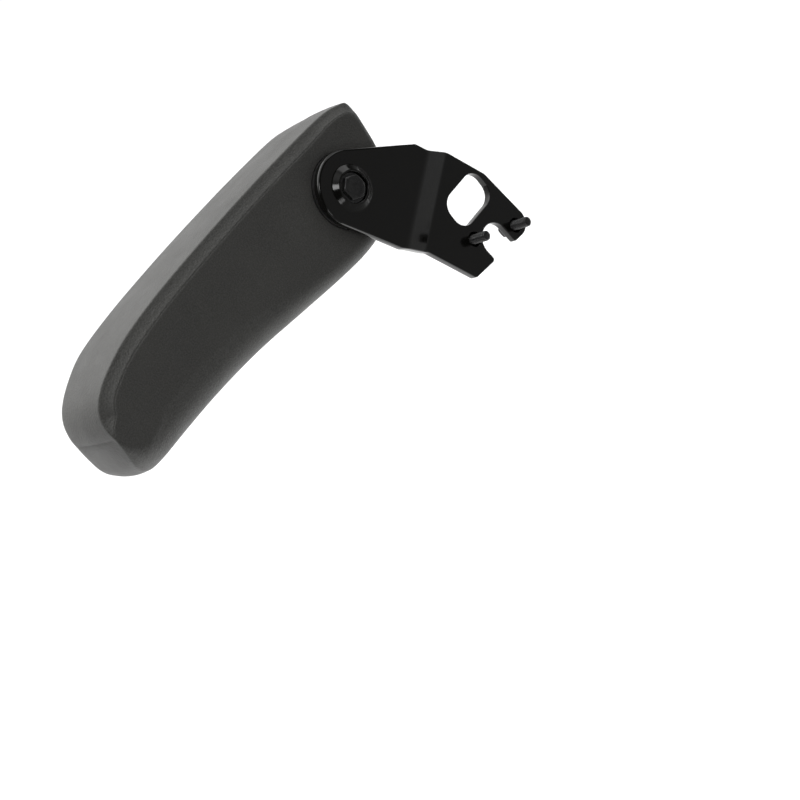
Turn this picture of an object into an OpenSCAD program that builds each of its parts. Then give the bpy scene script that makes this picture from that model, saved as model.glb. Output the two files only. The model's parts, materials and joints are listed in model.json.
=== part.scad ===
// Flip-up seat armrest, right hand: a moulded foam pad that turns on a joggled steel bracket.
// +X runs forward to the pad's nose, +Y inboard to the seat, and +Z up.
// The origin is midway between the two mounting bolts, on the bracket face that meets the seat.

/* [Bracket] */
// Thickness of the bracket's steel plate
plate_t = 5; // [4.8:0.1:5.2]
// Sideways step between the mounting plate and the pivot plate
joggle = 7; // [6.8:0.1:8]
// Distance of the pivot ahead of the origin
pivot_x = 57; // [55:0.5:59]
// Height of the pivot above the origin
pivot_z = 90; // [88:0.5:92]
// Radius of the bracket's round end at the pivot
pivot_end_r = 22; // [21.5:0.5:23]
// Distance between the two mounting holes
bolt_spacing = 33.6; // [33:0.1:34]
// Slope of the line through the two mounting holes
bolt_slope = 30.6; // [30:0.1:31]
// Diameter of the two mounting holes
bolt_hole_d = 9; // [8:0.1:9]

/* [Mounting bolts] */
// Thread diameter of the mounting bolts
bolt_d = 6; // [5:0.5:6]
// Length of the mounting bolts under the head
bolt_len = 16; // [12:1:25]
// Width across the flats of their heads
bolt_flats = 10; // [8:0.5:11]
// Diameter of their flanges
bolt_flange_d = 14; // [13:0.2:15]

/* [Pivot] */
// Diameter of the raised collar around the pivot bolt's head
collar_d = 26.5; // [26:0.5:28]
// Height of the collar
collar_h = 2.4; // [2:0.1:3]
// Diameter of the pivot bolt's shoulder
shoulder_d = 10; // [9:0.5:11]
// Width across the flats of the pivot bolt's head
pivot_flats = 13; // [12:0.5:14]
// Angle that the pad lifts through
lift_angle = 90; // [80:1:92]

/* [Pad] */
// Width of the pad
pad_w = 61.5; // [60:0.5:75]
// Gap between the pad and the bracket
pad_gap = 2; // [1.8:0.1:2.2]
// Thickness of the core's steel sheet
core_t = 3; // [2:0.5:3]

/* [Hidden] */
$fn = 72;

// Bracket levels along Y
plate_back = joggle - plate_t;          // back of the pivot plate, which faces the pad
pad_face = plate_back - pad_gap;        // side face of the pad

// Bracket shape
joggle_angle = 113;                     // fall of the joggle's direction below +X
joggle_start = 42.7;                    // from the pivot to the first bend
joggle_run = 16.3;                      // from the first bend to the second
bend_r = 4;                             // inside radius of both bends
arm_end = 150;                          // past every edge of the outline
collar_slope = 3.4;                     // run of the collar's sloping side
collar_bore = 17.6;                     // room for the spring and the bolt's head

// Pivot stack, from the bracket outwards to the core
bush_wall = 2;
bush_flange_t = 1.2;
running_gap = 0.05;
spring_t = 0.6;
spring_cone = 0.15;                     // rise of the disc spring's cone
washer_t = 1.2;
washer_d = 24;
washer_play = 0.4;                      // the thrust washer's bore over the shoulder
bush_end = plate_back - bush_flange_t;
washer_top = bush_end - running_gap;
boss_top = washer_top - washer_t;       // where the thrust washer lies on the boss
hub_floor_t = 2.55;
head_under = joggle + spring_t + spring_cone + running_gap;
pivot_head_h = 2.4;
pivot_thread_d = 8;
pivot_thread_len = 18;
boss_d = 18;
boss_len = 27;
boss_end_t = 3;                         // solid metal at the blind end of the boss

// Stop: a stud on the bracket runs in an arc-shaped groove in the hub
stop_r = 16.5;
stud_r = 2.25;
stop_groove_r = 2.5;
stop_end_r = 2.4;
stop_play = 0.05;
stud_clear = 0.25;                      // between the stud's end and the hub's floor
stop_rest_angle = 150;                  // direction of the stud from the pivot, above +X
stop_ends = (stop_end_r - stud_r - stop_play) / stop_r * 180 / PI;
hub_r = 21.5;
rim_top = plate_back - 0.4;
groove_depth = 5.05;
hub_floor = rim_top - groove_depth;
web_top = hub_floor - hub_floor_t;
sector_top = rim_top - 1.8;

// Pad outline, as distances ahead of and above the pivot
pad_top = [[-40, 31.2], [-24, 36.2], [14, 40.5], [52, 43.5], [88, 45.5], [124, 46.5], [152, 45.5],
           [172, 42], [184, 37.5], [191, 31.5], [194.8, 24], [196, 18]];
pad_under = [[196, 18], [197, 8], [196.6, -2], [192, -9], [182, -11.5], [160, -12.8], [134, -14.8], [100, -19.3],
             [67, -25.8], [34, -32.3], [12, -35.6], [-4, -35], [-18, -29.5], [-30, -17],
             [-38, -2], [-42.2, 14], [-43.8, 23], [-43.6, 27.2], [-42.2, 29.8], [-40, 31.2]];
spine = [[0, 8], [165, 16]];            // middle line that the edges are rounded towards
pad_rear = -42.2;
pad_nose = 197;
top_edge = [7.5, 3.3];                  // depth of the rounded edge on the side face, and its lean
end_edge = [7, 7];
under_edge = [15, 15];
under_from = 8;                         // height above the pivot where the edge starts to swell
edge_fade = 20;                         // distance over which it swells, below there and from each end
edge_steps = 4;
blend_points = 8;                       // outline points over which the top edge's shape ends

// Core, as distances from the pivot
shelf_z = 19;
shelf_w = 44;
shelf_x = [-14, 152];
gusset_x = [34, 112];
gusset_drop = 26;
gusset_short = 6;                       // between the gusset's end and the shelf's far edge
gusset_end = 4;                         // height of that end

// Points of the corner at b, rounded to radius r on its way from a to c
function arc_corner(a, b, c, r) =
    let (
        u = (a - b) / norm(a - b),
        v = (c - b) / norm(c - b),
        half = acos(u * v) / 2,
        centre = b + (u + v) / norm(u + v) * r / sin(half),
        from = b + u * r / tan(half) - centre,
        to = b + v * r / tan(half) - centre,
        start = atan2(from.y, from.x),
        turn = atan2(from.x * to.y - from.y * to.x, from * to),
        steps = ceil(abs(turn) / 6)
    )
    [for (i = [0:steps]) centre + r * [cos(start + turn * i / steps), sin(start + turn * i / steps)]];

// Outline through corners [x, y, radius]
function rounded(corners) =
    let (n = len(corners))
    [for (i = [0:n - 1])
        let (a = corners[(i + n - 1) % n], b = corners[i], c = corners[(i + 1) % n])
        each b.z == 0 ? [[b.x, b.y]] : arc_corner([a.x, a.y], [b.x, b.y], [c.x, c.y], b.z)];

// Smooth curve through the points p, with n steps from each to the next, without the last point
function smooth(p, n) =
    [for (i = [0:len(p) - 2], k = [0:n - 1])
        let (
            t = k / n,
            a = p[max(i - 1, 0)],
            b = p[i],
            c = p[i + 1],
            d = p[min(i + 2, len(p) - 1)]
        )
        b + (c - a) * t / 2 + (2 * a - 5 * b + 4 * c - d) * t * t / 2
          + (3 * b - a - 3 * c + d) * t * t * t / 2];

// Where a line from the point q touches a circle of radius r about the origin, on side 1 or -1
function tangent_point(q, r, side) =
    let (a = atan2(q.y, q.x) + side * acos(r / norm(q))) r * [cos(a), sin(a)];

// Extrudes an X-Z drawing along Y from y_low to y_high
module across(y_low, y_high) {
    translate([0, y_high, 0]) rotate([90, 0, 0]) linear_extrude(y_high - y_low) children();
}

// Turns a radius-Y drawing about an axis along Y
module turned() {
    rotate([-90, 0, 0]) rotate_extrude() children();
}

// Round bar along Y from y_low to y_high
module bar(d, y_low, y_high) {
    translate([0, y_low, 0]) rotate([-90, 0, 0]) cylinder(d = d, h = y_high - y_low);
}

module at_pivot() {
    translate([pivot_x, 0, pivot_z]) children();
}

module at_bolt(side) {
    offset_x = side * bolt_spacing / 2 * cos(bolt_slope);
    offset_z = side * bolt_spacing / 2 * sin(bolt_slope);
    translate([offset_x, 0, offset_z]) children();
}

// Hexagonal bar along Y with a chamfered end at y_high
module hex_head(flats, y_low, y_high) {
    across_corners = flats / cos(30);
    chamfer = (across_corners - flats) / 2 * tan(30);
    intersection() {
        translate([0, y_low, 0]) rotate([-90, 0, 0])
            cylinder(d = across_corners, h = y_high - y_low, $fn = 6);
        turned() polygon([[0, y_low], [across_corners, y_low], [across_corners, y_high - chamfer],
                          [across_corners / 2, y_high - chamfer], [flats / 2, y_high], [0, y_high]]);
    }
}

// Outline of the bracket, seen from the seat side
module bracket_outline() {
    ear = [-24.8, -18.2, 9];
    toe = [32.2, -6.3, 3];
    slot_left = -6.4;
    slot_right = 13.3;
    slot_top = 7.2;
    slot_r = 9.8;
    bottom_slope = (toe.y - ear.y) / (toe.x - ear.x);
    rear_shoulder = [5.2, 75.2, 4];
    front_shoulder = [60, 45.2, 8];
    pivot = [pivot_x, pivot_z];
    rear_touch = pivot + tangent_point([rear_shoulder.x, rear_shoulder.y] - pivot, pivot_end_r, -1);
    front_touch = pivot + tangent_point([front_shoulder.x, front_shoulder.y] - pivot, pivot_end_r, 1);
    translate(pivot) circle(r = pivot_end_r);
    polygon(rounded([
        [pivot.x, pivot.y, 0], [rear_touch.x, rear_touch.y, 0], rear_shoulder,
        [1.8, 67, 8], [-12.4, 54.4, 8], [-22.6, 27, 5], ear,
        [slot_left, ear.y + bottom_slope * (slot_left - ear.x), 1.5],
        [slot_left, slot_top, slot_r], [slot_right, slot_top, slot_r],
        [slot_right, ear.y + bottom_slope * (slot_right - ear.x), 2],
        toe, [44.6, 28, 6], front_shoulder, [front_touch.x, front_touch.y, 0]
    ]));
}

// Edge view of the bent plate: distance from the pivot along the joggle, and Y
module plate_profile() {
    shift = plate_t / 2 * tan(atan(joggle / joggle_run) / 2);
    bend_1 = joggle_start;
    bend_2 = joggle_start + joggle_run;
    polygon(rounded([
        [-arm_end, joggle, 0], [bend_1 + shift, joggle, bend_r + plate_t], [bend_2 + shift, 0, bend_r],
        [arm_end, 0, 0], [arm_end, -plate_t, 0], [bend_2 - shift, -plate_t, bend_r + plate_t],
        [bend_1 - shift, plate_back, bend_r], [-arm_end, plate_back, 0]
    ]));
}

// Opening above the notch, with flat top and bottom and rounded ends
module oval_opening() {
    half_l = 17;
    half_h = 10.8;
    translate([-1.4, 26.1]) rotate(5) polygon(rounded([
        [-half_l, -half_h, 9], [half_l, -half_h, 9], [half_l, half_h, 9], [-half_l, half_h, 9]
    ]));
}

// Stamped plate with a raised collar at the pivot, a joggle, a notch, an oval opening and two bolt holes
module bracket_plate() {
    hole_d = shoulder_d + 2 * bush_wall;
    color("#1a1a1b") difference() {
        union() {
            intersection() {
                at_pivot() rotate([0, joggle_angle, 0])
                    linear_extrude(2 * arm_end, center = true) plate_profile();
                across(-2 * plate_t, 2 * joggle) bracket_outline();
            }
            at_pivot() turned() polygon([[0, joggle - 1], [collar_d / 2, joggle - 1], [collar_d / 2, joggle],
                                         [collar_d / 2 - collar_slope, joggle + collar_h],
                                         [0, joggle + collar_h]]);
        }
        at_pivot() bar(collar_bore, joggle, joggle + collar_h + 1);
        at_pivot() bar(hole_d, plate_back - 1, joggle + 1);
        across(-2 * plate_t, joggle) oval_opening();
        for (side = [-1, 1])
            at_bolt(side) bar(bolt_hole_d, -2 * plate_t, joggle);
    }
}

// Stop stud, welded to the back of the bracket beside the pivot
module stop_stud() {
    stud_end = hub_floor + stud_clear;
    chamfer = 0.4;
    color("#3a3a3c") at_pivot()
        rotate([0, -stop_rest_angle, 0]) translate([stop_r, 0, 0])
            turned() polygon([[0, stud_end], [stud_r - chamfer, stud_end], [stud_r, stud_end + chamfer],
                              [stud_r, plate_back], [0, plate_back]]);
}

// Flanged bushing pressed through the plate
module pivot_bushing() {
    bore_r = shoulder_d / 2 + running_gap;
    sleeve_r = shoulder_d / 2 + bush_wall;
    flange_r = 11;
    color("#d8d4c4") at_pivot()
        turned() polygon([[bore_r, bush_end], [flange_r, bush_end], [flange_r, plate_back],
                          [sleeve_r, plate_back], [sleeve_r, joggle], [bore_r, joggle]]);
}

// Disc spring that keeps the pivot bolt's head from rattling and gives the pad its stiff turn
module disc_spring() {
    inner_r = shoulder_d / 2 + 0.4;
    outer_r = 8.3;
    color("#2b2b2d") at_pivot()
        turned() polygon([[outer_r, joggle], [outer_r, joggle + spring_t],
                          [inner_r, joggle + spring_t + spring_cone],
                          [inner_r, joggle + spring_cone]]);
}

// Flange bolt: its head lies outboard of the plate and its thread points to the seat
module mounting_bolt() {
    under = -plate_t;
    flange_t = 1;
    cone_h = 1.2;
    head_h = 6;
    chamfer = 0.7;
    union() {
        mirror([0, 1, 0]) hex_head(bolt_flats, -under + flange_t, -under + head_h);
        turned() polygon([[0, under - flange_t - cone_h], [bolt_flats / 2, under - flange_t - cone_h],
                          [bolt_flange_d / 2, under - flange_t], [bolt_flange_d / 2, under],
                          [bolt_d / 2, under], [bolt_d / 2, under + bolt_len - chamfer],
                          [bolt_d / 2 - chamfer, under + bolt_len], [0, under + bolt_len]]);
    }
}

module rear_mounting_bolt() {
    color("#202022") at_bolt(-1) mounting_bolt();
}

module front_mounting_bolt() {
    color("#202022") at_bolt(1) mounting_bolt();
}

// Pad envelope: its outline is carried across the width, and its edges are rounded towards the spine
module pad_envelope() {
    top = smooth(pad_top, 4);
    outline = concat(top, smooth(pad_under, 4));
    n = len(outline);
    function spine_point(p) =
        let (along = spine[1] - spine[0], f = (p - spine[0]) * along / (along * along))
        spine[0] + along * max(0, min(1, f));
    function edge(i) =
        let (
            p = outline[i],
            from_end = min(p.x - pad_rear, pad_nose - p.x),
            low = max(0, min(1, (under_from - p.y) / edge_fade)) * max(0, min(1, from_end / edge_fade)),
            from_top = min(1, (i - len(top)) / blend_points, (n - i) / blend_points)
        )
        i < len(top) ? top_edge
                     : top_edge + (end_edge - top_edge) * from_top + (under_edge - end_edge) * low;
    function ring(steepness, y_face, outwards) =
        [for (i = [0:n - 1])
            let (
                p = outline[i],
                inward = (spine_point(p) - p) / norm(spine_point(p) - p),
                q = p + inward * edge(i)[0] * (1 - sin(steepness))
            )
            [q.x, y_face + outwards * edge(i)[1] * (1 - cos(steepness)), q.y]];
    turns = [for (k = [0:edge_steps]) 90 * k / edge_steps];
    rings = concat([for (a = turns) ring(a, pad_face, -1)],
                   [for (k = [0:edge_steps]) ring(turns[edge_steps - k], pad_face - pad_w, 1)]);
    walls = [for (k = [0:len(rings) - 2], i = [0:n - 1])
        let (j = (i + 1) % n, a = k * n)
        each [[a + i, a + j, a + n + i], [a + j, a + n + j, a + n + i]]];
    near_cap = [for (i = [0:n - 1]) n - 1 - i];
    far_cap = [for (i = [0:n - 1]) (len(rings) - 1) * n + i];
    at_pivot() polyhedron([for (r = rings) each r], concat(walls, [near_cap, far_cap]), convexity = 6);
}

// Moulded pad of self-skinned foam, cast around the steel core and the hub
module pad_moulding() {
    color("#3b3c3a") difference() {
        pad_envelope();
        core_web_blank();
        core_shelf_blank();
        core_gusset_blanks();
        at_pivot() bar(2 * hub_r, web_top, pad_face + 1);
        at_pivot() bar(boss_d, hub_floor - boss_len, web_top);
    }
}

// Upright sheet of the core beside the pivot; the foam keys through its round holes
module core_web_blank() {
    key_x = [54, 84, 134];
    key_d = 14;
    key_z = 7;
    at_pivot() difference() {
        across(web_top - core_t, web_top) polygon(rounded([
            [-26, shelf_z, 6], [shelf_x[1], shelf_z, 4], [shelf_x[1], 4, 8],
            [70, -8, 30], [20, -24, 12], [-22, -24, 14]
        ]));
        for (x = key_x)
            translate([x, 0, key_z]) bar(key_d, web_top - 2 * core_t, web_top + core_t);
    }
}

module core_web() {
    color("#8d9094") difference() {
        core_web_blank();
        at_pivot() bar(boss_d, hub_floor - boss_len, pad_face);
    }
}

// Level sheet of the core, welded along the top of the web, that carries the forearm's weight
module core_shelf_blank() {
    at_pivot() translate([shelf_x[0], web_top - core_t - shelf_w, shelf_z - core_t])
        cube([shelf_x[1] - shelf_x[0], shelf_w, core_t]);
}

module core_shelf() {
    color("#8d9094") core_shelf_blank();
}

// Two triangular gussets between the web and the shelf
module core_gusset_blanks() {
    web_side = web_top - core_t;
    shelf_under = shelf_z - core_t;
    at_pivot()
        for (x = gusset_x)
            translate([x, 0, 0]) rotate([90, 0, 90]) linear_extrude(core_t) polygon([
                [web_side, shelf_under], [web_side - shelf_w + gusset_short, shelf_under],
                [web_side - shelf_w + gusset_short, shelf_under - gusset_end],
                [web_side, shelf_under - gusset_drop]
            ]);
}

module core_gussets() {
    color("#8d9094") core_gusset_blanks();
}

// Stop hub: a shallow cup welded to the web, with a block that fills the ring where the stud never comes
module hub_cup() {
    inner_r = stop_r - stop_groove_r;
    outer_r = stop_r + stop_groove_r;
    overlap = 1;
    sweep = lift_angle - 2 * stop_ends;
    color("#77797c") at_pivot() union() {
        turned() polygon([[boss_d / 2, web_top], [hub_r, web_top], [hub_r, rim_top], [outer_r, rim_top],
                          [outer_r, hub_floor], [boss_d / 2, hub_floor]]);
        difference() {
            rotate([-90, 0, 0]) rotate([0, 0, sweep + stop_ends - stop_rest_angle])
                rotate_extrude(angle = 360 - sweep)
                    translate([inner_r, hub_floor - overlap])
                        square([outer_r - inner_r + overlap, sector_top - hub_floor + overlap]);
            // The hub turns with the pad, so the stud runs backwards in it from its rest angle
            for (turn = [stop_ends, lift_angle - stop_ends])
                rotate([0, turn - stop_rest_angle, 0]) translate([stop_r, 0, 0])
                    bar(2 * stop_end_r, hub_floor, plate_back);
        }
    }
}

// Threaded boss, welded through the web and standing up in the hub
module threaded_boss() {
    color("#77797c") at_pivot() difference() {
        bar(boss_d, hub_floor - boss_len, boss_top);
        bar(pivot_thread_d, hub_floor - boss_len + boss_end_t, boss_top + 1);
    }
}

// Hardened washer that the bushing's flange rubs on
module thrust_washer() {
    color("#b9bbbe") at_pivot() difference() {
        bar(washer_d, boss_top, washer_top);
        bar(shoulder_d + washer_play, boss_top - 1, washer_top + 1);
    }
}

// Shoulder bolt: low hexagonal head, ground shoulder and thread
module pivot_bolt() {
    thread_r = pivot_thread_d / 2 - running_gap;
    tip = boss_top - pivot_thread_len;
    tip_chamfer = 0.8;
    color("#1c1c1e") at_pivot() union() {
        hex_head(pivot_flats, head_under, head_under + pivot_head_h);
        turned() polygon([[0, tip], [thread_r - tip_chamfer, tip], [thread_r, tip + tip_chamfer],
                          [thread_r, boss_top], [shoulder_d / 2, boss_top],
                          [shoulder_d / 2, head_under + 1], [0, head_under + 1]]);
    }
}

bracket_plate();
stop_stud();
pivot_bushing();
disc_spring();
rear_mounting_bolt();
front_mounting_bolt();
pad_moulding();
core_web();
core_shelf();
core_gussets();
hub_cup();
threaded_boss();
thrust_washer();
pivot_bolt();
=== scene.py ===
import json
import math

import bmesh
import bpy
import numpy as np
from mathutils import Matrix, Vector, noise
from mathutils.geometry import delaunay_2d_cdt


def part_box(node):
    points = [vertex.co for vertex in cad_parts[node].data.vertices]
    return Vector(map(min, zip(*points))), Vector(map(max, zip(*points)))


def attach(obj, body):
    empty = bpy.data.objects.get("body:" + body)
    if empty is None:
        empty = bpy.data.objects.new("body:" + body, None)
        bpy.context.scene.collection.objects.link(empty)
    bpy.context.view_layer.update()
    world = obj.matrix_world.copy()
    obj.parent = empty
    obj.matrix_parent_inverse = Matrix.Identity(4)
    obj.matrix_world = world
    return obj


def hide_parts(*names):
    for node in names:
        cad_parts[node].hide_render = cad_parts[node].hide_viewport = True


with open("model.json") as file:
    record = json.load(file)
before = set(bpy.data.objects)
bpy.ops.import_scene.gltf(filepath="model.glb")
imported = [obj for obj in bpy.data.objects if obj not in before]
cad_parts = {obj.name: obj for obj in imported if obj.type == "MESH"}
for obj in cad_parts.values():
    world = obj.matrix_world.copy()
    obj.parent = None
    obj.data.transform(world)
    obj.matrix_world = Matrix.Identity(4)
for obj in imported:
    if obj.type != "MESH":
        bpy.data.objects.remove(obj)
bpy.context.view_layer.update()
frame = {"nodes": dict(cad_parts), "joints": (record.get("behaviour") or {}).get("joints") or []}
nodes = frame["nodes"]

# Flip-up seat armrest: a moulded foam pad that turns on a joggled steel bracket.
# Sizes below are in millimetres, and MM turns them into the frame's metres.
MM = 0.001
PIVOT = Vector(frame["joints"][0]["pos_m"])

# Pad outline, as distances ahead of and above the pivot
PAD_TOP = [
    (-40, 31.2), (-24, 36.2), (14, 40.5), (52, 43.5), (88, 45.5), (124, 46.5), (152, 45.5),
    (172, 42), (184, 37.5), (191, 31.5), (194.8, 24), (196, 18),
]
PAD_UNDER = [
    (196, 18), (197, 8), (196.6, -2), (192, -9), (182, -11.5), (160, -12.8), (134, -14.8), (100, -19.3),
    (67, -25.8), (34, -32.3), (12, -35.6), (-4, -35), (-18, -29.5), (-30, -17), (-38, -2),
    (-42.2, 14), (-43.8, 23), (-43.6, 27.2), (-42.2, 29.8), (-40, 31.2),
]
SPINE = ((0, 8), (165, 16))     # the edges shrink towards this line
OUTLINE_STEPS = 9
PAD_WIDTH = 61.5
RIM_COLUMNS = 13
TOP_CROWN = 0.8
UNDER_CROWN = 1.2

# Edges of the pad: depth down the side face, and width in from it
TOP_EDGE = (7.5, 3.3)
NOSE_EDGE = (0.8, 0.7)
UNDER_EDGE_REAR = (11.5, 15)
UNDER_EDGE_FRONT = (21, 17)
REAR_EDGE = (7, 7)
FAR_NOSE_EDGE = (17, 15)
BEVEL_HOLLOW = 0.5              # the bevel bows in by a quarter of this share of its width
EDGE_POINTS = 17
FILLET_POINTS = 5
SIDE_FILLET = 0.9
RIM_FILLET = 1.1
ROUND_DEPTH = 16                # of a deep edge, the part nearest the rim that is round
BAND_SLOPE = math.radians(12)   # lean of the rest
BAND_FADE = 4                   # a band shallower than this leans less

# Where one edge shape passes into the next: distances along the outline, or ahead of the pivot
TOP_EDGE_END = (0, 13)          # back from the nose corner
UNDER_EDGE_START = (0, 34)      # on from the nose corner
UNDER_EDGE_GROWTH = (25, 125)   # ahead of the pivot
REAR_EDGE_START = (28, 80)      # back from the outline's end
REAR_CORNER = (-12, -1)         # up to the outline's end
FAR_NOSE_START = (150, 192)     # ahead of the pivot

PARTING_GROOVE = 0.3
GROOVE_POINT = 2                # of an edge, the point that the groove presses in
CREASE_SPREAD = 3               # outline points on each side of the nose crease
SIDE_UNEVENNESS = 0.22
UNEVEN_LENGTH = 24
UNEVEN_START = (2, 14)          # from the side face's edge, where it begins and where it is whole
SIDE_GRID = 5
ROW_SHARE = 0.87                # rows of the triangular grid, as a share of its spacing
GRID_CLEAR = 0.6                # the same for the least distance from the edges
RECESS_SEGMENTS = 96
RECESS_GAP = 0.2
RECESS_LIP = 0.7
RECESS_LIP_MIDDLE = (0.2, 0.15)
RECESS_STRAIGHT = 3.5           # depth of a ring that keeps the wall straight below the lip
RECESS_FOOT = (0.4, 0.3)

# Bracket plate: outline corners as (x, z, radius) from the origin, then its bends and its collar
PIVOT_END_R = 22
REAR_SHOULDER = (5.2, 75.2, 4)
REAR_EDGE_CORNERS = ((1.8, 67, 8), (-12.4, 54.4, 8), (-22.6, 27, 5))
FRONT_SHOULDER = (60, 45.2, 8)
EAR = (-24.8, -18.2, 9)
TOE = (32.2, -6.3, 3)
FRONT_EDGE_CORNER = (44.6, 28, 6)
NOTCH_X = (-6.4, 13.3)
NOTCH_TOP = 7.2
NOTCH_R = 9.8
NOTCH_CORNERS_R = (1.5, 2)
OVAL_HALF = (17, 10.8)
OVAL_CORNER_R = 9
OVAL_CENTRE = (-1.4, 26.1)
OVAL_TILT = 5
BOLT_SPACING = 33.6
BOLT_SLOPE = 30.6
BOLT_HOLE_R = 4.5
PLATE_T = 5
JOGGLE = 7
JOGGLE_ANGLE = 113
JOGGLE_START = 42.7
JOGGLE_RUN = 16.3
BEND_R = 4
COLLAR_R = 13.25
COLLAR_H = 2.4
COLLAR_SLOPE = 3.4
COLLAR_BORE_R = 8.8
COLLAR_SKIRT = 3                # flat ring around the collar's foot
COLLAR_SEGMENTS = 96
BUSH_R = 7
EDGE_R = 0.75
HOLE_EDGE_R = 0.4
END_EDGE_R = 1.7                # around the pivot end, where no other edge is near
END_EDGE_REACH = (50, 26)       # from the pivot, where it starts and where it is whole
EDGE_STEPS = 5
PIVOT_END_STEPS = 40
HOLE_SEGMENTS = 40
ARC_STEP = math.radians(5)
OUTLINE_SPACING = 1.6
FAR_OFF = 200                   # past the plate on both sides of its bends
FLAT_NORMAL = 0.9999            # a face whose normal is closer than this to Y is flat

# Bolt heads: radii as shares of the size across flats
HEX_SHARE = 0.988               # real hexagons are a little under size
HEAD_MIDDLE_R = 0.8             # in millimetres
HEAD_DISH = ((0.24, 0.35), (0.33, 0.05), (0.36, 0), (0.455, 0))     # radius, and depth below the top
CHAMFER_R = 0.475
CHAMFER_SLOPE = 0.62
CHAMFER_STEPS = 6
CHAMFER_DROP = 0.12
FLATS_START = 0.6               # below the chamfer
FLATS_END = 0.3                 # above the head's base

# Bolts
MOUNT_FLATS = 10
FLANGE_R = 7.0
FLANGE_H = 1.0
FLANGE_EDGE = 0.25
FLANGE_SHOULDER = (0.15, -0.1)  # the upper edge's start and end, above the flange's height
CONE_H = 1.2
CONE = ((0.98, 5.1), (0.55, 5.75))      # share of the cone's height, and radius
MOUNT_HEAD_H = 6.0
NECK_FILLET = (0.5, 0.3)
SHANK_LEN = 16.0
SHANK_TIP = ((0.1, 0.7), (0, 0.85))     # distance from the end, and how much thinner than the thread
THREAD_PITCH = 1.0
THREAD_R = 2.98
THREAD_DEPTH = 0.55
THREAD_START = 1.2
THREAD_STOP = 0.2               # before the shank's end
VALLEY_HALF = 0.4               # half of a valley's width, as a share of the pitch
STATIONS_A_TURN = 8
PIVOT_FLATS = 13
PIVOT_HEAD_H = 2.4
PIVOT_WASHER_R = 6.2
SHOULDER_R = 5.0
PIVOT_THREAD_R = 3.95
PIVOT_THREAD_LEN = 18
PIVOT_TIP = 0.8

# Stage, in metres
FLOOR_HEIGHT = -0.5
FLOOR_HALF = 12.0
CAMERA_PLACE = (0.4814, 0.6570, 0.3008)
CAMERA_BACK = (0.440, 0.813, 0.382)
CAMERA_RIGHT = (-0.492, 0.574, -0.654)
CAMERA_LENS = 65.3


# ---------------------------------------------------------------- mesh tools

def new_object(name, mesh):
    obj = bpy.data.objects.new(name, mesh)
    bpy.context.scene.collection.objects.link(obj)
    return obj


def mesh_from(name, points, faces):
    """A closed, smooth-shaded mesh object with its faces turned outwards."""
    mesh = bpy.data.meshes.new(name)
    mesh.from_pydata([tuple(p) for p in points], [], faces)
    work = bmesh.new()
    work.from_mesh(mesh)
    bmesh.ops.recalc_face_normals(work, faces=work.faces)
    work.to_mesh(mesh)
    work.free()
    mesh.shade_smooth()
    return new_object(name, mesh)


def apply_modifiers(obj):
    """Turns what the modifiers make of obj into its own mesh."""
    graph = bpy.context.evaluated_depsgraph_get()
    made = bpy.data.meshes.new_from_object(obj.evaluated_get(graph))
    obj.modifiers.clear()
    obj.data = made


def tube_faces(first, rings, count):
    """Quads between closed rings of count points each, whose points start at first."""
    faces = []
    for r in range(rings - 1):
        a = first + r * count
        for i in range(count):
            j = (i + 1) % count
            faces.append((a + i, a + j, a + count + j, a + count + i))
    return faces


def capped_faces(rings, count):
    """Quads between the rings, and a cap on each end."""
    faces = tube_faces(0, rings, count)
    faces.append(tuple(range(count))[::-1])
    faces.append(tuple((rings - 1) * count + i for i in range(count)))
    return faces


def flat_loop(points, indices):
    """X and Z of the points with these indices."""
    return np.array([points[i] for i in indices])[:, [0, 2]] if len(indices) else np.zeros((0, 2))


def inside(loop, x, z):
    """Whether the point lies inside the closed loop."""
    a, b = loop, np.roll(loop, -1, axis=0)
    spans = (a[:, 1] > z) != (b[:, 1] > z)
    rise = np.where(spans, b[:, 1] - a[:, 1], 1)
    cross = a[:, 0] + (z - a[:, 1]) * (b[:, 0] - a[:, 0]) / rise
    return bool((spans & (x < cross)).sum() % 2)


def fill_face(points, loops, inner, links=()):
    """Triangles between the first loop and the others, which are its holes.

    Loops hold indices into points, the inner points are added to points, and links are pairs of inner
    points that an edge joins.
    """
    known = [i for loop in loops for i in loop]
    bounds, start = [], 0
    for loop in loops:
        bounds += [(start + i, start + (i + 1) % len(loop)) for i in range(len(loop))]
        start += len(loop)
    bounds += [(start + a, start + b) for a, b in links]
    known += range(len(points), len(points) + len(inner))
    points += [np.array(p, float) for p in inner]
    flat = [Vector((points[i][0], points[i][2])) for i in known]
    made = delaunay_2d_cdt(flat, bounds, [], 1, 1e-6)
    corners, triangles, origins = made[0], made[2], made[3]
    holes = [flat_loop(points, loop) for loop in loops[1:]]
    faces = []
    for triangle in triangles:
        middle = sum((corners[i] for i in triangle), Vector((0, 0))) / len(triangle)
        if not any(inside(hole, *middle) for hole in holes):
            faces.append(tuple(known[origins[i][0]] for i in triangle))
    return faces


# ---------------------------------------------------------------- pad

def smooth_curve(points, steps):
    """Catmull-Rom curve through the points, without the last one."""
    p = np.array(points, float)
    made = []
    for i in range(len(p) - 1):
        a, b, c, d = p[max(i - 1, 0)], p[i], p[i + 1], p[min(i + 2, len(p) - 1)]
        for k in range(steps):
            t = k / steps
            made.append(b + (c - a) * t / 2 + (2 * a - 5 * b + 4 * c - d) * t ** 2 / 2
                        + (3 * b - a - 3 * c + d) * t ** 3 / 2)
    return np.array(made)


def nearest_on_spine(points):
    start, end = (np.array(q, float) for q in SPINE)
    along = end - start
    share = np.clip((points - start) @ along / (along @ along), 0, 1)
    return start + share[:, None] * along


def fade(x, start, end):
    """0 before start, 1 after end, and smooth between them."""
    t = min(1.0, max(0.0, (x - start) / (end - start)))
    return t * t * (3 - 2 * t)


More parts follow.
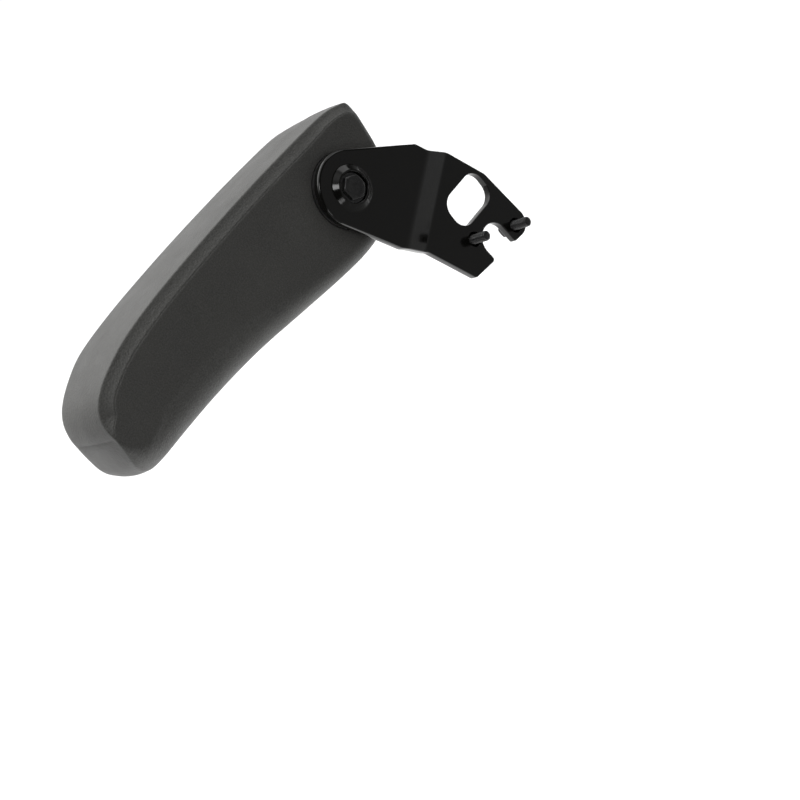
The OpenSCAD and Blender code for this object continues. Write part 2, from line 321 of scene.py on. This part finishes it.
def bevel_profile(depth, width):
    """Slightly hollow bevel from the side face to the rim, as (inset, drop) points, with two fillets."""
    length = math.hypot(depth, width)
    longest = 0.4 * length
    side_fillet = min(SIDE_FILLET, longest)
    rim_fillet = min(RIM_FILLET, longest)
    corner, rim = np.array([depth, 0.0]), np.array([0.0, width])
    slope = (rim - corner) / length
    first = (corner + [side_fillet, 0], corner, corner + slope * side_fillet)
    last = (rim - slope * rim_fillet, rim, rim + [0, rim_fillet])

    def fillet(a, b, c):
        t = np.linspace(0, 1, FILLET_POINTS)[:, None]
        return (1 - t) ** 2 * a + 2 * t * (1 - t) * b + t ** 2 * c

    spans = EDGE_POINTS - 2 * FILLET_POINTS + 1
    middle = [first[2] + (last[0] - first[2]) * k / spans for k in range(1, spans)]
    profile = np.vstack([fillet(*first), middle, fillet(*last)])
    share = np.clip(profile[:, 0] / depth, 0, 1)
    profile[:, 1] += BEVEL_HOLLOW * width * (1 - share) * share
    return profile


def soft_profile(depth, width):
    """Round edge from the side face to the rim, as (inset, drop) points.

    A deep one starts as a leaning band.
    """
    round_depth = min(depth, ROUND_DEPTH)
    band_drop = (depth - round_depth) * math.tan(BAND_SLOPE)
    start = BAND_SLOPE * min(1.0, (depth - round_depth) / BAND_FADE)
    fine_steps = 60
    angle = np.linspace(start, math.pi / 2, fine_steps)
    inset = round_depth * (1 - np.sin(angle)) / (1 - math.sin(start))
    drop = band_drop + (width - band_drop) * (math.cos(start) - np.cos(angle)) / math.cos(start)
    curve = np.vstack([[depth, 0], np.stack([inset, drop], axis=1)])
    along = np.concatenate([[0], np.cumsum(np.linalg.norm(np.diff(curve, axis=0), axis=1))])
    even = np.linspace(0, along[-1], EDGE_POINTS)
    return np.stack([np.interp(even, along, curve[:, 0]), np.interp(even, along, curve[:, 1])], axis=1)


def between(first, second, share):
    """Depth and width of an edge that is this share of the way from the first to the second."""
    return [a + (b - a) * share for a, b in zip(first, second)]


def edge_profiles(outline, corner, far=False):
    """(inset, drop) points of the pad's edge at each outline point, and how far each edge is a bevel.

    corner is the nose corner's index. The far side, away from the bracket, has a rounder nose.
    """
    steps = np.linalg.norm(np.diff(np.vstack([outline, outline[:1]]), axis=0), axis=1)
    along = np.concatenate([[0], np.cumsum(steps)[:-1]])
    total = steps.sum()
    profiles, bevels = [], []
    for i, s in enumerate(along):
        ahead = outline[i][0]
        if i <= corner:
            size = between(NOSE_EDGE, TOP_EDGE, fade(along[corner] - s, *TOP_EDGE_END))
            bevel = 1.0
        else:
            left = total - s
            under = between(UNDER_EDGE_REAR, UNDER_EDGE_FRONT, fade(ahead, *UNDER_EDGE_GROWTH))
            size = between(NOSE_EDGE, under, fade(s - along[corner], *UNDER_EDGE_START))
            size = between(REAR_EDGE, size, fade(left, *REAR_EDGE_START))
            bevel = fade(-left, *REAR_CORNER)
            size = between(size, TOP_EDGE, bevel)
        if far:
            nose = fade(ahead, *FAR_NOSE_START)
            size = between(size, FAR_NOSE_EDGE, nose)
            bevel *= 1 - nose
        straight = bevel_profile(*size)
        curved = soft_profile(*size)
        profiles.append(curved + (straight - curved) * bevel)
        bevels.append(bevel)
    return np.array(profiles), np.array(bevels)


def pad_shell():
    """The pad's skin: the outline carried across the width, with its edges, crown and side faces."""
    top = smooth_curve(PAD_TOP, OUTLINE_STEPS)
    outline = np.vstack([top, smooth_curve(PAD_UNDER, OUTLINE_STEPS)])
    corner, count = len(top), len(outline)
    spine = nearest_on_spine(outline)
    inward = (spine - outline) / np.linalg.norm(spine - outline, axis=1)[:, None]
    tangent = np.roll(outline, -1, axis=0) - np.roll(outline, 1, axis=0)
    normal = np.stack([-tangent[:, 1], tangent[:, 0]], axis=1)
    normal /= np.linalg.norm(normal, axis=1)[:, None]

    def edge_rings(y_face, outwards):
        """Rings of one side's edge, from its side face to the rim, as rows of (x, y, z) in millimetres."""
        profiles, bevels = edge_profiles(outline, corner, far=outwards > 0)
        profiles[:, GROOVE_POINT, 1] += PARTING_GROOVE * bevels
        made = []
        for k in range(EDGE_POINTS):
            flat = outline + inward * profiles[:, k, :1]
            made.append(np.stack([flat[:, 0], y_face + outwards * profiles[:, k, 1], flat[:, 1]], axis=1))
        return made

    near, far = edge_rings(0, -1), edge_rings(-PAD_WIDTH, 1)
    crown = np.where(np.arange(count) <= corner, TOP_CROWN, UNDER_CROWN)
    groove = PARTING_GROOVE * np.maximum(0, 1 - np.abs(np.arange(count) - corner) / CREASE_SPREAD)
    rim = []
    for k in range(1, RIM_COLUMNS + 1):
        u = k / (RIM_COLUMNS + 1)
        ring = near[-1] + (far[-1] - near[-1]) * u
        lift = normal * (crown * 4 * u * (1 - u) - groove)[:, None]
        ring[:, 0] += lift[:, 0]
        ring[:, 2] += lift[:, 1]
        rim.append(ring)
    rings = near + rim + far[::-1]
    points = list(np.vstack(rings))
    faces = tube_faces(0, len(rings), count)

    low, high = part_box("hub_cup")
    recess_r = (high.x - low.x) / 2 / MM + RECESS_GAP
    bottom = low.y / MM
    bend_out, bend_down = RECESS_LIP_MIDDLE
    foot_in, foot_up = RECESS_FOOT
    recess = [(recess_r + RECESS_LIP, 0), (recess_r + bend_out, -bend_down), (recess_r, -RECESS_LIP),
              (recess_r, -RECESS_STRAIGHT), (recess_r, bottom + foot_up), (recess_r - foot_in, bottom)]
    angles = np.linspace(0, 2 * math.pi, RECESS_SEGMENTS, endpoint=False)
    mouth = len(points)
    for r, y in recess:
        points += [np.array((r * math.cos(a), y, r * math.sin(a))) for a in angles]
    faces += tube_faces(mouth, len(recess), RECESS_SEGMENTS)
    faces.append(tuple(range(mouth + (len(recess) - 1) * RECESS_SEGMENTS, len(points))))
    near_edge, hole = range(count), range(mouth, mouth + RECESS_SEGMENTS)
    faces += fill_face(points, [near_edge, hole], side_points(points, near_edge, hole, 0, -1))
    last = (len(rings) - 1) * count
    far_edge = range(last, last + count)
    faces += fill_face(points, [far_edge], side_points(points, far_edge, (), -PAD_WIDTH, 1))
    return mesh_from("pad_skin_moulding", np.array(points) * MM + np.array(PIVOT), faces)


def side_points(points, edge, hole, y_face, outwards):
    """Inner points of a side face, on a triangular grid and a little uneven, clear of its edge and hole."""
    rim = flat_loop(points, edge)
    inner = flat_loop(points, hole)
    fixed = np.vstack([rim, inner])
    low, high = rim.min(0), rim.max(0)
    made = []
    for row, z in enumerate(np.arange(low[1], high[1], SIDE_GRID * ROW_SHARE)):
        for x in np.arange(low[0] + (row % 2) * SIDE_GRID / 2, high[0], SIDE_GRID):
            clear = np.linalg.norm(fixed - (x, z), axis=1).min()
            if clear > SIDE_GRID * GRID_CLEAR and inside(rim, x, z) and not inside(inner, x, z):
                wave = noise.noise(Vector((x / UNEVEN_LENGTH, outwards * 7, z / UNEVEN_LENGTH))) + 0.5
                drop = SIDE_UNEVENNESS * wave * fade(clear, *UNEVEN_START)
                made.append((x, y_face + outwards * drop, z))
    return made


def make_pad():
    """The pad's skin, subdivided once."""
    pad = pad_shell()
    rounder = pad.modifiers.new("rounder", "SUBSURF")
    rounder.levels = rounder.render_levels = 1
    apply_modifiers(pad)
    return pad


# ---------------------------------------------------------------- bracket

def rounded(corners):
    """Outline through corners (x, z, radius), as points, with each corner an arc."""
    made = []
    for i, (x, z, r) in enumerate(corners):
        b = Vector((x, z))
        if r == 0:
            made.append(b)
            continue
        a, c = (Vector(corners[j % len(corners)][:2]) for j in (i - 1, i + 1))
        u, v = (a - b).normalized(), (c - b).normalized()
        half = u.angle(v) / 2
        centre = b + (u + v).normalized() * r / math.sin(half)
        start, end = b + u * r / math.tan(half) - centre, b + v * r / math.tan(half) - centre
        turn = math.atan2(start.x * end.y - start.y * end.x, start.dot(end))
        steps = math.ceil(abs(turn) / ARC_STEP)
        for k in range(steps + 1):
            made.append(centre + Matrix.Rotation(turn * k / steps, 2) @ start)
    return made


def evenly_split(loop):
    """The loop with points added on its long stretches."""
    made = []
    for a, b in zip(loop, loop[1:] + loop[:1]):
        pieces = max(1, math.ceil((b - a).length / OUTLINE_SPACING))
        made += [a + (b - a) * k / pieces for k in range(pieces)]
    return made


def round_loop(x, z, radius, segments):
    """Points of a circle about (x, z)."""
    turns = [2 * math.pi * i / segments for i in range(segments)]
    return [Vector((x + radius * math.cos(t), z + radius * math.sin(t))) for t in turns]


def touch(corner, side):
    """Where the edge from a corner touches the bracket's round end, as an angle about the pivot."""
    away = Vector((corner[0] - PIVOT.x / MM, corner[1] - PIVOT.z / MM))
    return math.atan2(away.y, away.x) + side * math.acos(PIVOT_END_R / away.length)


def plate_outline():
    """The bracket's outline, counter-clockwise, and its three plain openings, all in millimetres."""
    slope = (TOE[1] - EAR[1]) / (TOE[0] - EAR[0])
    left, right = NOTCH_X
    below = [EAR[1] + slope * (x - EAR[0]) for x in NOTCH_X]
    first, last = touch(FRONT_SHOULDER, 1), touch(REAR_SHOULDER, -1)
    sweep = (last - first) % (2 * math.pi)
    turns = [first + sweep * k / PIVOT_END_STEPS for k in range(PIVOT_END_STEPS + 1)]
    x, z = PIVOT.x / MM, PIVOT.z / MM
    end = [(x + PIVOT_END_R * math.cos(t), z + PIVOT_END_R * math.sin(t), 0) for t in turns]
    outer = rounded([
        *end, REAR_SHOULDER, *REAR_EDGE_CORNERS, EAR, (left, below[0], NOTCH_CORNERS_R[0]),
        (left, NOTCH_TOP, NOTCH_R), (right, NOTCH_TOP, NOTCH_R), (right, below[1], NOTCH_CORNERS_R[1]),
        TOE, FRONT_EDGE_CORNER, FRONT_SHOULDER,
    ])

    half_x, half_z = OVAL_HALF
    corners = ((-half_x, -half_z), (half_x, -half_z), (half_x, half_z), (-half_x, half_z))
    oval = rounded([(*corner, OVAL_CORNER_R) for corner in corners])
    tilt = Matrix.Rotation(math.radians(OVAL_TILT), 2)
    oval = [Vector(OVAL_CENTRE) + tilt @ p for p in oval]

    slope = math.radians(BOLT_SLOPE)
    reach = [side * BOLT_SPACING / 2 for side in (-1, 1)]
    holes = [round_loop(r * math.cos(slope), r * math.sin(slope), BOLT_HOLE_R, HOLE_SEGMENTS) for r in reach]
    return [evenly_split(loop) for loop in (outer, oval, *holes)]


def make_bracket():
    """Stamped and joggled plate with the rounded edges that stamping and thick paint leave."""
    shift = PLATE_T / 2 * math.tan(math.atan(JOGGLE / JOGGLE_RUN) / 2)
    bends = (JOGGLE_START, JOGGLE_START + JOGGLE_RUN)
    front = rounded([(-FAR_OFF, JOGGLE, 0), (bends[0] + shift, JOGGLE, BEND_R + PLATE_T),
                     (bends[1] + shift, 0, BEND_R), (FAR_OFF, 0, 0)])
    under = JOGGLE - PLATE_T
    back = rounded([(-FAR_OFF, under, 0), (bends[0] - shift, under, BEND_R),
                    (bends[1] - shift, -PLATE_T, BEND_R + PLATE_T), (FAR_OFF, -PLATE_T, 0)])
    away = Vector((math.cos(math.radians(JOGGLE_ANGLE)), -math.sin(math.radians(JOGGLE_ANGLE))))
    pivot = Vector((PIVOT.x, PIVOT.z)) / MM

    def level(surface, x, z):
        """Height of the bent plate's front or back at (x, z)."""
        along = (Vector((x, z)) - pivot).dot(away)
        return float(np.interp(along, [p.x for p in surface], [p.y for p in surface]))

    points, faces, front_loops, back_loops = [], [], [], []
    for loop in plate_outline():
        count, first = len(loop), len(points)
        outer = first == 0
        reach = [fade((p - pivot).length, *END_EDGE_REACH) if outer else 0 for p in loop]
        base_r = EDGE_R if outer else HOLE_EDGE_R
        edge_r = [base_r + (END_EDGE_R - base_r) * share for share in reach]
        rings = []
        steps = range(EDGE_STEPS + 1)
        for surface, sign, order in ((front, -1, steps), (back, 1, reversed(steps))):
            for k in order:
                a = k / EDGE_STEPS * math.pi / 2
                rings.append((surface, 1 - math.sin(a), sign * (1 - math.cos(a))))
        for surface, inset, drop in rings:
            for i in range(count):
                along = (loop[(i + 1) % count] - loop[i - 1]).normalized()
                into = Vector((-along.y, along.x)) * (1 if outer else -1)
                p = loop[i] + into * inset * edge_r[i]
                points.append(np.array((p.x, level(surface, p.x, p.y) + drop * edge_r[i], p.y)))
        faces += tube_faces(first, len(rings), count)
        front_loops.append(range(first, first + count))
        back_loops.append(range(len(points) - count, len(points)))

    crest, rim = JOGGLE + COLLAR_H, COLLAR_R + COLLAR_SKIRT
    profile = rounded([
        (rim, JOGGLE, 0), (COLLAR_R, JOGGLE, 1.6), (COLLAR_R - COLLAR_SLOPE, crest, 1.2),
        (COLLAR_BORE_R, crest, 0.5), (COLLAR_BORE_R, JOGGLE, 0.3), (BUSH_R, JOGGLE, 0.3),
        (BUSH_R, under, 0.3), (rim, under, 0),
    ])
    profile = [(p.x, p.y) for p in profile]
    first = len(points)
    for r, y in profile:
        for p in round_loop(pivot.x, pivot.y, r, COLLAR_SEGMENTS):
            points.append(np.array((p.x, y, p.y)))
    faces += tube_faces(first, len(profile), COLLAR_SEGMENTS)
    front_loops.append(range(first, first + COLLAR_SEGMENTS))
    back_loops.append(range(len(points) - COLLAR_SEGMENTS, len(points)))

    for surface, loops in ((front, front_loops), (back, back_loops)):
        inner, links = plate_points(points, loops, surface, away, pivot, bends, level)
        faces += fill_face(points, loops, inner, links)
    plate = mesh_from("bracket_painted", np.array(points) * MM, faces)
    for face in plate.data.polygons:
        face.use_smooth = abs(face.normal.y) < FLAT_NORMAL
    return plate


def plate_points(points, loops, surface, away, pivot, bends, level):
    """Inner points of the plate in rows along its bends, close together in a bend, and their links."""
    edges = [flat_loop(points, loop) for loop in loops]
    fixed = np.vstack(edges)
    wide, close, column, half_bend = 4, 0.45, 2.5, 3.6
    first_row, last_row, half_across, clearance = -20, 110, 90, 0.5
    rows = list(np.arange(first_row, last_row, wide))
    for bend in bends:
        rows = [u for u in rows if abs(u - bend) > wide]
        rows += list(np.arange(bend - half_bend, bend + half_bend + 0.1, close))
    across = Vector((-away.y, away.x))
    inner, links = [], []
    for u in sorted(rows):
        previous = None
        for w in np.arange(-half_across, half_across, column):
            p = pivot + away * u + across * w
            clear = np.linalg.norm(fixed - (p.x, p.y), axis=1).min()
            if clear < clearance or not inside(edges[0], *p) or any(inside(hole, *p) for hole in edges[1:]):
                previous = None
                continue
            inner.append((p.x, level(surface, p.x, p.y), p.y))
            if previous is not None:
                links.append((previous, len(inner) - 1))
            previous = len(inner) - 1
    return inner, links


# ---------------------------------------------------------------- bolts

def hex_reach(angle, flats):
    """Distance from a hexagon's middle to its outline, with a flat on the angle 0."""
    return flats / 2 / math.cos((angle + math.pi / 6) % (math.pi / 3) - math.pi / 6)


def plain(radius):
    """A round station's radius, the same at every angle."""
    return lambda a: radius


def turned_piece(name, stations, centre, direction, segments=72):
    """Closed piece about an axis along Y.

    stations are (height, function from angle to radius) in millimetres.
    """
    points = []
    for height, reach in stations:
        for i in range(segments):
            a = 2 * math.pi * i / segments
            r = reach(a)
            points.append(centre + Vector((r * math.cos(a), direction * height, r * math.sin(a))) * MM)
    return mesh_from(name, points, capped_faces(len(stations), segments))


def head_stations(flats, base, top):
    """Hexagonal head from its middle top down to base: a dished middle, a turned chamfer and six flats."""
    corner_r = flats / 2 / math.cos(math.pi / 6)
    chamfer_r = flats * CHAMFER_R
    chamfer_h = (corner_r - flats / 2) * CHAMFER_SLOPE

    def level(height, limit):
        return height, lambda a: min(limit, hex_reach(a, flats) * HEX_SHARE)

    stations = [(top - HEAD_DISH[0][1], plain(HEAD_MIDDLE_R))]
    stations += [(top - depth, plain(flats * share)) for share, depth in HEAD_DISH]
    for k in range(CHAMFER_STEPS + 1):
        share = k / CHAMFER_STEPS
        height = top - CHAMFER_DROP - chamfer_h * share
        stations.append(level(height, chamfer_r + (corner_r - chamfer_r) * share))
    flats_top = top - chamfer_h - FLATS_START
    stations += [level(height, corner_r) for height in (flats_top, base + FLATS_END, base)]
    return stations


def make_mounting_bolt(node):
    """M6 flange bolt with a rolled thread. Heights run from under the head towards the head's top."""
    low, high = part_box(node)
    centre = Vector(((low.x + high.x) / 2, -PLATE_T * MM, (low.z + high.z) / 2))
    stations = head_stations(MOUNT_FLATS, FLANGE_H + CONE_H, MOUNT_HEAD_H)
    stations += [(FLANGE_H + CONE_H * share, plain(r)) for share, r in CONE]
    seat_r, (fillet_out, fillet_down) = FLANGE_R - FLANGE_EDGE, NECK_FILLET
    shoulder_start, shoulder_end = (FLANGE_H + rise for rise in FLANGE_SHOULDER)
    stations += [(shoulder_start, plain(seat_r)), (shoulder_end, plain(FLANGE_R)),
                 (FLANGE_EDGE, plain(FLANGE_R)), (0, plain(seat_r)), (0, plain(THREAD_R + fillet_out)),
                 (-fillet_down, plain(THREAD_R))]
    count = int((SHANK_LEN - THREAD_START - THREAD_STOP) / THREAD_PITCH * STATIONS_A_TURN)
    for k in range(count + 1):
        depth = THREAD_START + k * THREAD_PITCH / STATIONS_A_TURN
        stations.append((-depth, thread_reach(depth)))
    stations += [(left - SHANK_LEN, plain(THREAD_R - thinner)) for left, thinner in SHANK_TIP]
    return turned_piece(node + "_threaded", stations, centre, -1)


def thread_reach(depth):
    """Radius of the rolled thread this deep below the head, as a function of the angle."""
    run_in = min(1.0, (depth - THREAD_START) / THREAD_START)
    run_out = min(1.0, SHANK_LEN - depth + THREAD_STOP)

    def reach(a):
        phase = (depth / THREAD_PITCH - a / (2 * math.pi)) % 1
        valley = max(0.0, 1 - abs(phase - 0.5) / VALLEY_HALF)
        return (THREAD_R - THREAD_DEPTH * valley * run_in) * (0.9 + 0.1 * run_out)

    return reach


def make_pivot_bolt():
    """Shoulder bolt of the pivot: detailed head, ground shoulder and plain threaded end."""
    low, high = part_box("pivot_bolt")
    top, tip = high.y / MM, low.y / MM
    base = top - PIVOT_HEAD_H
    boss_top = tip + PIVOT_THREAD_LEN
    stations = head_stations(PIVOT_FLATS, base + 0.3, top)
    stations += [(base, plain(PIVOT_WASHER_R)), (base, plain(SHOULDER_R)), (boss_top, plain(SHOULDER_R)),
                 (boss_top, plain(PIVOT_THREAD_R)), (tip + PIVOT_TIP, plain(PIVOT_THREAD_R)),
                 (tip, plain(PIVOT_THREAD_R - PIVOT_TIP))]
    centre = Vector((PIVOT.x, 0, PIVOT.z))
    return turned_piece("pivot_bolt_detailed", stations, centre, 1)


# ---------------------------------------------------------------- materials

class Nodes:
    """Short way to build a material's nodes around one Principled shader."""

    def __init__(self, name):
        self.material = bpy.data.materials.new(name)
        self.material.use_nodes = True
        self.tree = self.material.node_tree
        self.shader = self.tree.nodes["Principled BSDF"]
        self.place = self.add("ShaderNodeTexCoord").outputs["Object"]

    def plug(self, socket, value):
        """Links value to the socket if value is a socket too, or else sets the socket to it."""
        if isinstance(value, bpy.types.NodeSocket):
            self.tree.links.new(value, socket)
        else:
            socket.default_value = value

    def add(self, kind, inputs=None, **settings):
        node = self.tree.nodes.new(kind)
        for key, value in settings.items():
            setattr(node, key, value)
        for key, value in (inputs or {}).items():
            self.plug(node.inputs[key], value)
        return node

    def noise(self, scale, detail=2.0, rough=0.5):
        return self.add("ShaderNodeTexNoise", {"Vector": self.place, "Scale": scale, "Detail": detail,
                                               "Roughness": rough}).outputs["Fac"]

    def cells(self, scale):
        return self.add("ShaderNodeTexVoronoi", {"Vector": self.place, "Scale": scale},
                        feature="SMOOTH_F1").outputs["Distance"]

    def ranged(self, value, low, high, to_low, to_high):
        return self.add("ShaderNodeMapRange", {"Value": value, "From Min": low, "From Max": high,
                                               "To Min": to_low, "To Max": to_high}).outputs["Result"]

    def maths(self, operation, a, b):
        return self.add("ShaderNodeMath", {0: a, 1: b}, operation=operation).outputs[0]

    def mixed(self, factor, a, b):
        """Colour between a and b. A Mix node's colour inputs have the numbers 6 and 7, and its output 2."""
        return self.add("ShaderNodeMix", {0: factor, 6: a, 7: b}, data_type="RGBA").outputs[2]

    def edges(self, low, high):
        """1 on sharp outer edges and 0 on flat stretches."""
        point = self.add("ShaderNodeNewGeometry").outputs["Pointiness"]
        return self.ranged(point, low, high, 0.0, 1.0)

    def bump(self, height, strength, distance, under=None):
        inputs = {"Height": height, "Strength": strength, "Distance": distance}
        if under is not None:
            inputs["Normal"] = under
        return self.add("ShaderNodeBump", inputs).outputs["Normal"]

    def finish(self, color=None, roughness=None, normal=None, **values):
        for key, value in (("Base Color", color), ("Roughness", roughness), ("Normal", normal)):
            if value is not None:
                self.plug(self.shader.inputs[key], value)
        for key, value in values.items():
            self.shader.inputs[key.replace("_", " ")].default_value = value
        return self.material


def grey(level, warm=0.0):
    """Grey colour, a little warmer where warm is above 0."""
    return (level * (1 + warm), level * (1 + warm * 0.8), level * (1 - warm), 1)


def pad_skin():
    """Charcoal self-skinned foam: fine pebble grain, light speckle and cloudy tone."""
    m = Nodes("pad_skin")
    clouds = m.ranged(m.noise(28, 4, 0.6), 0.3, 0.7, 0.0, 1.0)
    speckle = m.ranged(m.noise(1300, 2, 0.6), 0.38, 0.66, 0.0, 1.0)
    tone = m.mixed(clouds, grey(0.026, 0.04), grey(0.037, 0.05))
    tone = m.mixed(m.maths("MULTIPLY", speckle, 0.6), tone, grey(0.068, 0.04))
    rough = m.ranged(m.noise(60, 3, 0.5), 0.3, 0.7, 0.50, 0.62)
    grain = m.bump(m.cells(1100), 0.7, 0.00025)
    grain = m.bump(m.noise(1700, 2, 0.6), 0.4, 0.00015, grain)
    return m.finish(tone, rough, grain, Specular_IOR_Level=0.42, Sheen_Weight=0.12, Sheen_Roughness=0.45)


def gloss_paint():
    """Thick black paint over stamped steel: faint orange peel, dust and paint drawn thin on the edges."""
    m = Nodes("bracket_paint")
    dust = m.ranged(m.noise(900, 3, 0.6), 0.62, 0.8, 0.0, 1.0)
    tone = m.mixed(m.maths("MULTIPLY", dust, 0.2), grey(0.0028, 0.1), grey(0.009, 0.05))
    tone = m.mixed(m.maths("MULTIPLY", m.edges(0.52, 0.6), 0.3), tone, grey(0.02))
    rough = m.ranged(m.noise(140, 3, 0.6), 0.3, 0.7, 0.09, 0.15)
    peel = m.bump(m.noise(260, 2, 0.5), 0.06, 0.0002)
    return m.finish(tone, rough, peel, Specular_IOR_Level=0.36)


def black_steel():
    """Blackened bolt steel with a little metal showing on the edges."""
    m = Nodes("black_steel")
    patches = m.ranged(m.noise(500, 4, 0.6), 0.35, 0.7, 0.0, 1.0)
    tone = m.mixed(patches, grey(0.012), grey(0.028))
    tone = m.mixed(m.maths("MULTIPLY", m.edges(0.53, 0.66), 0.5), tone, grey(0.16))
    rough = m.ranged(m.noise(350, 3, 0.6), 0.3, 0.7, 0.24, 0.4)
    surface = m.bump(m.noise(1400, 3, 0.6), 0.12, 0.0001)
    return m.finish(tone, rough, surface, Metallic=0.35, Specular_IOR_Level=0.5)


def bare_steel(name, level, streaks=900):
    """Cold-rolled steel of the hidden core: rolling streaks along X and dull oxide clouds."""
    m = Nodes(name)
    stretch = m.add("ShaderNodeMapping", {"Vector": m.place, "Scale": (0.04, 1, 1)}).outputs["Vector"]
    lines = m.add("ShaderNodeTexNoise", {"Vector": stretch, "Scale": streaks, "Detail": 3.0}).outputs["Fac"]
    clouds = m.ranged(m.noise(70, 4, 0.6), 0.3, 0.7, 0.0, 1.0)
    tone = m.mixed(clouds, grey(level * 0.72, 0.01), grey(level))
    rough = m.ranged(lines, 0.3, 0.7, 0.28, 0.46)
    return m.finish(tone, rough, m.bump(lines, 0.08, 0.0001), Metallic=1.0)


def bushing_nylon():
    """Off-white nylon with a faintly mottled tone and a fine rough surface."""
    m = Nodes("bushing_nylon")
    tone = m.mixed(m.noise(220, 3, 0.5), (0.62, 0.59, 0.52, 1), (0.70, 0.67, 0.60, 1))
    rough = m.ranged(m.noise(500, 2, 0.5), 0.3, 0.7, 0.36, 0.5)
    return m.finish(tone, rough, m.bump(m.noise(1200, 2, 0.5), 0.08, 0.0001), Specular_IOR_Level=0.45)


def floor_tone():
    """White behind the part, and grey on the seat side, where the gloss paint mirrors it."""
    m = Nodes("floor_tone")
    split = m.add("ShaderNodeSeparateXYZ", {"Vector": m.place}).outputs["Y"]
    tone = m.mixed(m.ranged(split, -0.06, 0.12, 0.0, 1.0), grey(0.93), grey(0.2))
    return m.finish(tone, 0.8, None, Specular_IOR_Level=0.1)


def paint(obj, material):
    obj.data.materials.clear()
    obj.data.materials.append(material)


def paint_node(name, material):
    """Gives a CAD node's material slots this material."""
    for place in nodes[name].material_slots:
        place.material = material


# ---------------------------------------------------------------- stage

def make_floor(height):
    """Floor well below the part."""
    half = FLOOR_HALF
    corners = [(-half, -half, height), (half, -half, height), (half, half, height), (-half, half, height)]
    mesh = bpy.data.meshes.new("floor")
    mesh.from_pydata(corners, [], [(0, 1, 2, 3)])
    floor = new_object("floor", mesh)
    paint(floor, floor_tone())


def make_room():
    """Soft dome: bright overhead and behind the part, as the camera sees it, and dim on the seat side."""
    world = bpy.data.worlds.new("room")
    bpy.context.scene.world = world
    world.use_nodes = True
    tree = world.node_tree
    place = tree.nodes.new("ShaderNodeTexCoord")
    split = tree.nodes.new("ShaderNodeSeparateXYZ")
    tree.links.new(place.outputs["Generated"], split.inputs[0])

    def ramp(axis, start, end, low, high):
        level = tree.nodes.new("ShaderNodeMapRange")
        level.interpolation_type = "SMOOTHSTEP"
        tree.links.new(split.outputs[axis], level.inputs["Value"])
        for key, value in (("From Min", start), ("From Max", end), ("To Min", low), ("To Max", high)):
            level.inputs[key].default_value = value
        return level.outputs["Result"]

    dimmed = tree.nodes.new("ShaderNodeMath")
    dimmed.operation = "MULTIPLY"
    tree.links.new(ramp("Y", -0.5, 0.2, 1.05, 0.05), dimmed.inputs[0])
    tree.links.new(ramp("X", 0.1, 0.8, 1.0, 0.36), dimmed.inputs[1])
    total = tree.nodes.new("ShaderNodeMath")
    tree.links.new(dimmed.outputs[0], total.inputs[0])
    tree.links.new(ramp("Z", 0.55, 0.95, 0.0, 2.0), total.inputs[1])
    back = tree.nodes["Background"]
    back.inputs["Color"].default_value = (1, 1, 1, 1)
    tree.links.new(total.outputs[0], back.inputs["Strength"])


def area_light(name, place, aim, size, power):
    data = bpy.data.lights.new(name, "AREA")
    data.shape = "RECTANGLE"
    data.size, data.size_y = size
    data.energy = power
    light = new_object(name, data)
    light.location = place
    light.visible_camera = False
    light.rotation_euler = (Vector(aim) - Vector(place)).to_track_quat("-Z", "Y").to_euler()
    return light


def make_lights():
    """A wide overhead light, one from below, and three softboxes that the gloss paint mirrors."""
    area_light("overhead", (0.15, -0.35, 1.5), (0.1, -0.03, 0.1), (1.6, 1.2), 12)
    area_light("from_below", (0.3, 0.02, -0.45), (0.15, -0.03, 0.06), (0.5, 0.5), 2.0)
    area_light("softbox_high", (0.35, 0.98, 0.72), PIVOT, (0.28, 0.22), 1.6)
    area_light("softbox_low", (0.82, 0.90, -0.11), PIVOT, (0.18, 0.28), 0.9)
    area_light("softbox_rear", (-0.84, 0.56, 0.64), PIVOT, (0.7, 0.5), 1.9)


def make_camera():
    """Camera on the seat side, ahead of the part and above it.

    It is rolled so that the pad's nose points down and to the left.
    """
    back = Vector(CAMERA_BACK).normalized()
    right = Vector(CAMERA_RIGHT)
    right = (right - back * right.dot(back)).normalized()
    up = back.cross(right)
    data = bpy.data.cameras.new("camera")
    data.sensor_width = 36
    data.lens = CAMERA_LENS
    camera = new_object("camera", data)
    turn = Matrix((right, up, back)).transposed().to_4x4()
    camera.matrix_world = Matrix.Translation(CAMERA_PLACE) @ turn
    bpy.context.scene.camera = camera


# ---------------------------------------------------------------- build

make_camera()
make_room()
make_lights()
make_floor(FLOOR_HEIGHT)
bpy.context.scene.view_settings.view_transform = "Standard"

steel_black = black_steel()
steel_core = bare_steel("core_steel", 0.34)
steel_hub = bare_steel("hub_steel", 0.30, 1500)

pad = make_pad()
paint(pad, pad_skin())
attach(pad, "pad")
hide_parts("pad_moulding")

bracket = make_bracket()
paint(bracket, gloss_paint())
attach(bracket, "bracket")
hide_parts("bracket_plate")

for node in ("rear_mounting_bolt", "front_mounting_bolt"):
    bolt = make_mounting_bolt(node)
    paint(bolt, steel_black)
    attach(bolt, "bracket")
    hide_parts(node)

pivot_bolt = make_pivot_bolt()
paint(pivot_bolt, steel_black)
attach(pivot_bolt, "pad")
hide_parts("pivot_bolt")

paint_node("disc_spring", steel_black)
paint_node("stop_stud", steel_hub)
paint_node("pivot_bushing", bushing_nylon())
for node in ("core_web", "core_shelf", "core_gussets"):
    paint_node(node, steel_core)
for node in ("hub_cup", "threaded_boss", "thrust_washer"):
    paint_node(node, steel_hub)
